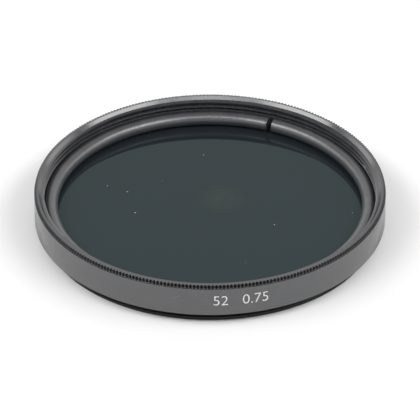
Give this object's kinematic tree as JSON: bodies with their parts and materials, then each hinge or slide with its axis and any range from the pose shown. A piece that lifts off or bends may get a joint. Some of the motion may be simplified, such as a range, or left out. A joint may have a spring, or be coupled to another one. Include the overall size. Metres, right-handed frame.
{
  "type": "neutral density filter",
  "caption": "Screw-in round dark glass filter in a knurled black metal ring, with a lens thread at each end and a split ring holding the glass.",
  "frame": {"origin": "on the optical axis, in the plane of the rear face that the filter rests on", "axes": "+Z along the optical axis, out of the front thread; X and Y across the ring, with the ring's split at 67 degrees from +X towards +Y"},
  "size_m": [0.0542, 0.0542, 0.0071],
  "materials": {
    "black_anodised": "fine turned, black anodised, semi-matte",
    "dark_glass": "polished, dark neutral tint",
    "blackened_wire": "black paint, satin"
  },
  "bodies": {
    "root": {"filter_frame": "black_anodised", "nd_glass": "dark_glass", "retaining_ring": "blackened_wire"}
  },
  "joints": []
}
